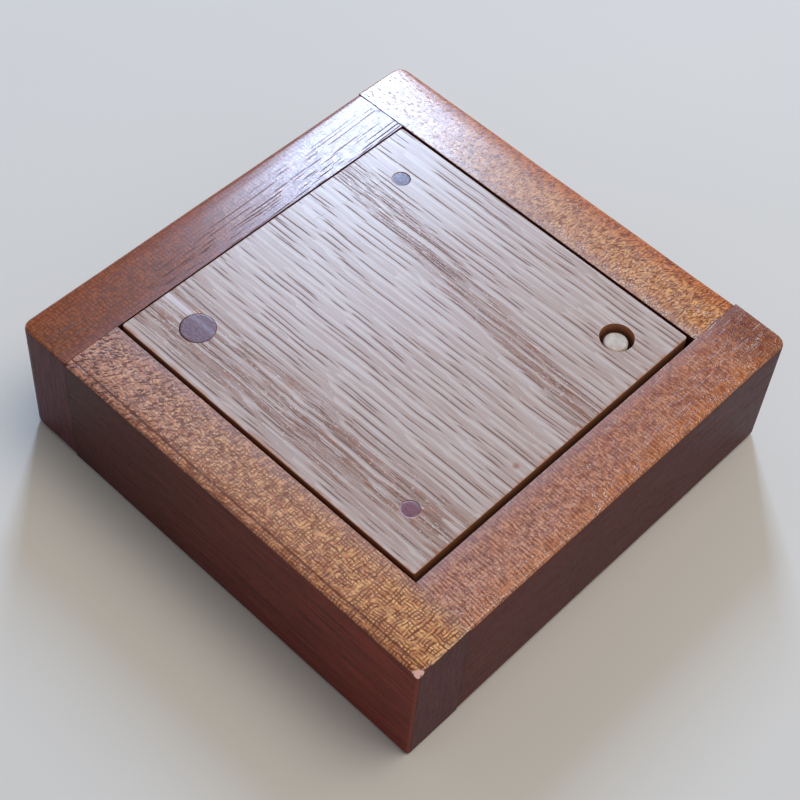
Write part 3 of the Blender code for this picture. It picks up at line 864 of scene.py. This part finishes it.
def addObject(name, bm, material):
    mesh = bpy.data.meshes.new(name)
    bm.to_mesh(mesh)
    bm.free()
    mesh.materials.append(material)
    piece = bpy.data.objects.new(name, mesh)
    bpy.context.scene.collection.objects.link(piece)
    return piece


def addPiece(name, bm, material, nodeName):
    # Makes the object that stands for a CAD node, and lets it ride on the node's body
    bmesh.ops.remove_doubles(bm, verts=bm.verts, dist=weldDistance)
    bmesh.ops.triangulate(bm, faces=[face for face in bm.faces if len(face.verts) > 4])
    bmesh.ops.dissolve_degenerate(bm, dist=sliverWidth, edges=bm.edges)  # a sliver would stop the bevel everywhere
    piece = addObject(name, bm, material)
    piece.data.shade_smooth()
    bevel = piece.modifiers.new("broken edges", "BEVEL")
    bevel.width = edgeBreak["width"]
    bevel.segments = edgeBreak["segments"]
    bevel.limit_method = "ANGLE"
    bevel.angle_limit = smoothAngle
    piece.modifiers.new("weighted normals", "WEIGHTED_NORMAL")
    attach(piece, nodeBodies[nodeName])
    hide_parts(nodeName)


def sliceAlong(bm, direction, first, last, step):
    # Cuts across the whole shape at even steps, so that it can be bent a little
    place = first
    while place < last:
        bmesh.ops.bisect_plane(
            bm,
            geom=bm.verts[:] + bm.edges[:] + bm.faces[:],
            dist=weldDistance,
            plane_co=Vector(direction) * place,
            plane_no=direction,
        )
        place += step


# Case rails: sanded by hand, so that their outer faces and tops wander by a tenth of a millimetre

caseLook = {
    "firstSlice": 0.002,  # from the joint
    "lastSlice": 0.003,  # from the outer corner
    "sliceStep": 0.0024,
    "waves": 70.0,  # swells a metre
    "faceSwell": 0.00010,
    "topSwell": 0.00005,
    "swellStart": 0.01,  # the faces swell fully only this far from their joint
    "proudEnd": 0.00025,  # how far the right rail's end stands out past the back rail
    "jointLine": 0.00004,
    "openJoint": 0.00018,  # the left rail's joint, at the back left corner
    "fall": 0.00018,  # how far the tops fall away towards the outer edge
    "fallStart": 0.0460,
    "fallStep": 0.0012,
}
halfSide = 0.0508
halfOpening = 0.0381
railHeight = 0.0294
outerBand = 0.0445  # points further out than this belong to a rail's outer side
topBand = 0.0284  # points higher than this belong to its top
buttBand = 0.0003  # points this near to the opening's corner belong to its butt end
crossing = 0.0015  # past the opening by this much, its inner edge runs along the next rail's end
edgeBand = 0.0004  # points this near to an edge belong to it

for count, (nodeName, look) in enumerate(railLooks.items()):
    bm = copyOf(nodeName)
    quarter = Matrix.Rotation(count * math.pi / 2, 3, "Z")
    bmesh.ops.transform(bm, matrix=quarter.inverted().to_4x4(), verts=bm.verts)
    firstSlice, lastSlice = -halfOpening + caseLook["firstSlice"], halfSide - caseLook["lastSlice"]
    sliceAlong(bm, (1, 0, 0), firstSlice, lastSlice, caseLook["sliceStep"])
    sliceAlong(bm, (0, 1, 0), -halfSide + caseLook["fallStep"], -caseLook["fallStart"], caseLook["fallStep"])
    joint = caseLook["openJoint"] if nodeName == "rail_left" else caseLook["jointLine"]
    for vert in bm.verts:
        if vert.co.x < -halfOpening + buttBand:  # the butt end closes up to the next rail
            vert.co.x = -halfOpening + joint
        if nodeName == "rail_back" and vert.co.y < -outerBand:
            share = (halfSide - vert.co.x) / (2 * halfSide)
            vert.co.y += caseLook["proudEnd"] * share
        atInnerEdge = vert.co.y > -halfOpening - edgeBand and vert.co.z > railHeight - edgeBand
        if atInnerEdge and vert.co.x > halfOpening + crossing:
            vert.co.y, vert.co.z = -halfOpening, railHeight  # left sharp where it meets the next rail's end
        swell = 0.5 + 0.5 * noise.noise(quarter @ vert.co * caseLook["waves"])
        fromJoint = min(1, max(0, (vert.co.x + halfOpening) / caseLook["swellStart"]))
        if vert.co.y < -outerBand:
            vert.co.y += caseLook["faceSwell"] * swell * fromJoint
        if vert.co.z > topBand:
            outwards = max(0, (-vert.co.y - caseLook["fallStart"]) / (halfSide - caseLook["fallStart"]))
            vert.co.z -= caseLook["topSwell"] * swell + caseLook["fall"] * outwards ** 2
    bmesh.ops.transform(bm, matrix=quarter.to_4x4(), verts=bm.verts)
    material = varnishedSapele("varnished sapele " + nodeName.split("_")[1], look, count)
    addPiece(nodeName + "_finished", bm, material, nodeName)
print("case rails done")


# Lid

plugSeam = {"reach": 0.0003, "closed": 0.00008, "broken": 0.00003}  # the plugs were sanded level with the lid
rimBand = 0.01  # points this near to a plug's rim belong to it, in millimetres

addPiece("lid_panel_finished", copyOf("lid_panel"), oiledOak("oiled red oak", oakLook), "lid_panel")
for nodeName, look in plugs.items():
    low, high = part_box(nodeName)
    centre = (low + high) / 2
    radius = (high.x - low.x) / 2 * perMetre
    material = darkEndGrain("oiled dark end grain " + nodeName, look, centre, radius)
    bm = copyOf(nodeName)
    for vert in bm.verts:
        fromMiddle = Vector((vert.co.x - centre.x, vert.co.y - centre.y))
        if vert.co.z > high.z - plugSeam["reach"] and fromMiddle.length * perMetre > radius - rimBand:
            vert.co.xy += fromMiddle.normalized() * plugSeam["closed"]
            vert.co.z = max(vert.co.z, high.z - plugSeam["broken"])
    addPiece(nodeName + "_finished", bm, material, nodeName)
print("lid done")


# What the lid hides. The dowels keep their CAD shape and get the peg's maple.

sandedMaple = closeGrained("sanded maple", maple)
oiledAlder = closeGrained("oiled alder", alder)
sapeleBoard = closeGrained("oiled sapele board", board, fibreTurn(0))
walnutDowel = closeGrained("walnut dowel", walnut)
innerPieces = {
    "push_peg": sandedMaple,
    "peg_keeper_ring": walnutDowel,
    "fulcrum_pin_back_left": walnutDowel,
    "fulcrum_pin_front_right": walnutDowel,
    "base_panel": sapeleBoard,
    "coin_tray": sapeleBoard,
    "corner_post_front_left": oiledAlder,
    "corner_post_front_right": oiledAlder,
    "corner_post_back_right": oiledAlder,
    "corner_post_back_left": oiledAlder,
}
for nodeName, material in innerPieces.items():
    addPiece(nodeName + "_finished", copyOf(nodeName), material, nodeName)
for nodeName, node in frame["nodes"].items():
    if nodeName.startswith("joint_dowel"):
        node.data.materials.clear()
        node.data.materials.append(sandedMaple)
print("inner pieces done")


# Coil spring under the peg: round wire, wound with a closed curl at each end

springLook = {
    "wire": 0.0007,
    "wireSegments": 14,
    "stepsACurl": 40,
    "closedRise": 0.00075,
    "openCurls": 3,
    "pressed": 0.0028,  # how far the peg comes down
}
low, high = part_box("peg_spring")
centre = (low + high) / 2
wireRadius = springLook["wire"] / 2
coilRadius = (high.x - low.x - springLook["wire"]) / 2
openRise = (high.z - low.z - springLook["wire"] - 2 * springLook["closedRise"]) / springLook["openCurls"]
bm = bmesh.new()
start = Matrix.Translation((centre.x + coilRadius, centre.y, low.z + wireRadius))
bmesh.ops.create_circle(
    bm,
    cap_ends=True,
    segments=springLook["wireSegments"],
    radius=wireRadius,
    matrix=start @ Matrix.Rotation(math.pi / 2, 4, "X"),
)
wound = bm.faces[:]
closedCurl = (1, springLook["closedRise"])
for curls, rise in (closedCurl, (springLook["openCurls"], openRise), closedCurl):
    result = bmesh.ops.spin(
        bm,
        geom=wound,
        cent=centre,
        axis=(0, 0, 1),
        dvec=(0, 0, rise / springLook["stepsACurl"]),
        angle=math.tau * curls,
        steps=springLook["stepsACurl"] * curls,
    )
    wound = [item for item in result["geom_last"] if isinstance(item, bmesh.types.BMFace)]
bmesh.ops.remove_doubles(bm, verts=bm.verts, dist=weldDistance)
inside = [face for face in bm.faces if all(len(edge.link_faces) > 2 for edge in face.edges)]
bmesh.ops.delete(bm, geom=inside, context="FACES_ONLY")
bmesh.ops.recalc_face_normals(bm, faces=bm.faces)
bm.verts.index_update()
vertCount = len(bm.verts)
bm.faces.sort(key=lambda face: (  # spin gives the faces in another order each run
    min(vert.index for vert in face.verts) * vertCount + max(vert.index for vert in face.verts)
))
spring = addObject("peg_spring_finished", bm, drawnSteel("drawn spring steel", wireLook))
spring.data.shade_smooth()
spring.data.set_sharp_from_angle(angle=smoothAngle)
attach(spring, nodeBodies["peg_spring"])
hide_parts("peg_spring")
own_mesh(spring)
print("spring done,", len(spring.data.polygons), "faces")


# Pale floor: a sweep of matt paper that fades into the wall

floorLook = {
    "size": 6.0,
    "tone": "#DEDCD8",
    "grainTone": "#D8D6D2",
    "cloudsAMetre": 9.0,
    "roughness": 0.8,
    "far": "#D2D2D0",
    "fadeStart": 0.30,
    "fadeEnd": 1.1,
}


def backdropRays(tree):
    # 1 for rays that show what is behind the object: to the camera, off gloss or through glass
    rays = addNode(tree, "LightPath", {}, "Is Camera Ray")
    seen = addNode(tree, "Math", {0: rays, 1: rays.node.outputs["Is Glossy Ray"]}, operation="MAXIMUM")
    return addNode(tree, "Math", {0: seen, 1: rays.node.outputs["Is Transmission Ray"]}, operation="MAXIMUM")


material, tree, shader = newMaterial("matt paper sweep")
place = addNode(tree, "TexCoord", {}, "Object")
cloud = addNode(tree, "TexNoise", {"Vector": place, "Scale": floorLook["cloudsAMetre"], "Detail": 2.0})
tone = layUp(tree, floorLook["tone"], [(cloud, floorLook["grainTone"])])
tree.links.new(tone, shader.inputs["Base Color"])
shader.inputs["Roughness"].default_value = floorLook["roughness"]
away = addNode(tree, "VectorMath", {0: place}, "Value", operation="LENGTH")
away = addNode(tree, "MapRange", {0: away, 1: floorLook["fadeStart"], 2: floorLook["fadeEnd"]},
               interpolation_type="SMOOTHSTEP")
fade = addNode(tree, "Math", {0: away, 1: backdropRays(tree)}, operation="MULTIPLY")
far = addNode(tree, "Emission", {"Color": floorLook["far"], "Strength": 1.0})
sweep = addNode(tree, "MixShader", {0: fade, 1: shader.outputs["BSDF"], 2: far})
tree.links.new(sweep, tree.nodes["Material Output"].inputs["Surface"])
bm = bmesh.new()
bmesh.ops.create_grid(bm, x_segments=1, y_segments=1, size=floorLook["size"] / 2)
addObject("floor", bm, material)


# Light: a soft window behind the left corner, a weak soft box above, and an even pale room

lamps = {
    "window": {
        "azimuth": 133.8,
        "elevation": 37.1,
        "distance": 1.2,
        "size": (0.16, 0.436),
        "watts": 9.0,
        "tone": "#C2DCFF",
    },
    "overhead": {
        "azimuth": 40.0,
        "elevation": 72.0,
        "distance": 1.2,
        "size": (0.7, 0.7),
        "watts": 6.6,
        "tone": "#FFF4E4",
    },
}
for name, lamp in lamps.items():
    data = bpy.data.lights.new(name, "AREA")
    data.shape = "RECTANGLE"
    data.size, data.size_y = lamp["size"]
    data.energy = lamp["watts"]
    data.color = hexColour(lamp["tone"])[:3]
    azimuth, elevation = math.radians(lamp["azimuth"]), math.radians(lamp["elevation"])
    level = math.cos(elevation)
    away = Vector((math.cos(azimuth) * level, math.sin(azimuth) * level, math.sin(elevation)))
    light = bpy.data.objects.new(name, data)
    light.location = away * lamp["distance"]
    light.rotation_euler = away.to_track_quat("Z", "Y").to_euler()
    bpy.context.scene.collection.objects.link(light)

roomLook = {
    "fill": "#F0F2F6",
    "fillStrength": 0.28,
    "wall": "#D2D2D0",
    "ceiling": "#46464A",
    "ceilingStart": 0.35,
    "ceilingFull": 0.70,
}
world = bpy.data.worlds.new("pale room")
world.use_nodes = True
bpy.context.scene.world = world
tree = world.node_tree
fill = addNode(tree, "Background", {"Color": roomLook["fill"], "Strength": roomLook["fillStrength"]})
direction = addNode(tree, "TexCoord", {}, "Generated")
height = addNode(tree, "SeparateXYZ", {0: direction}, "Z")
height = addNode(tree, "MapRange", {0: height, 1: roomLook["ceilingStart"], 2: roomLook["ceilingFull"]},
                 interpolation_type="SMOOTHSTEP")
walls = layUp(tree, roomLook["wall"], [(height, roomLook["ceiling"])])
backdrop = addNode(tree, "Background", {"Color": walls, "Strength": 1.0})
mixed = addNode(tree, "MixShader", {0: backdropRays(tree), 1: fill, 2: backdrop})
tree.links.new(mixed, tree.nodes["World Output"].inputs["Surface"])
print("floor and light done")
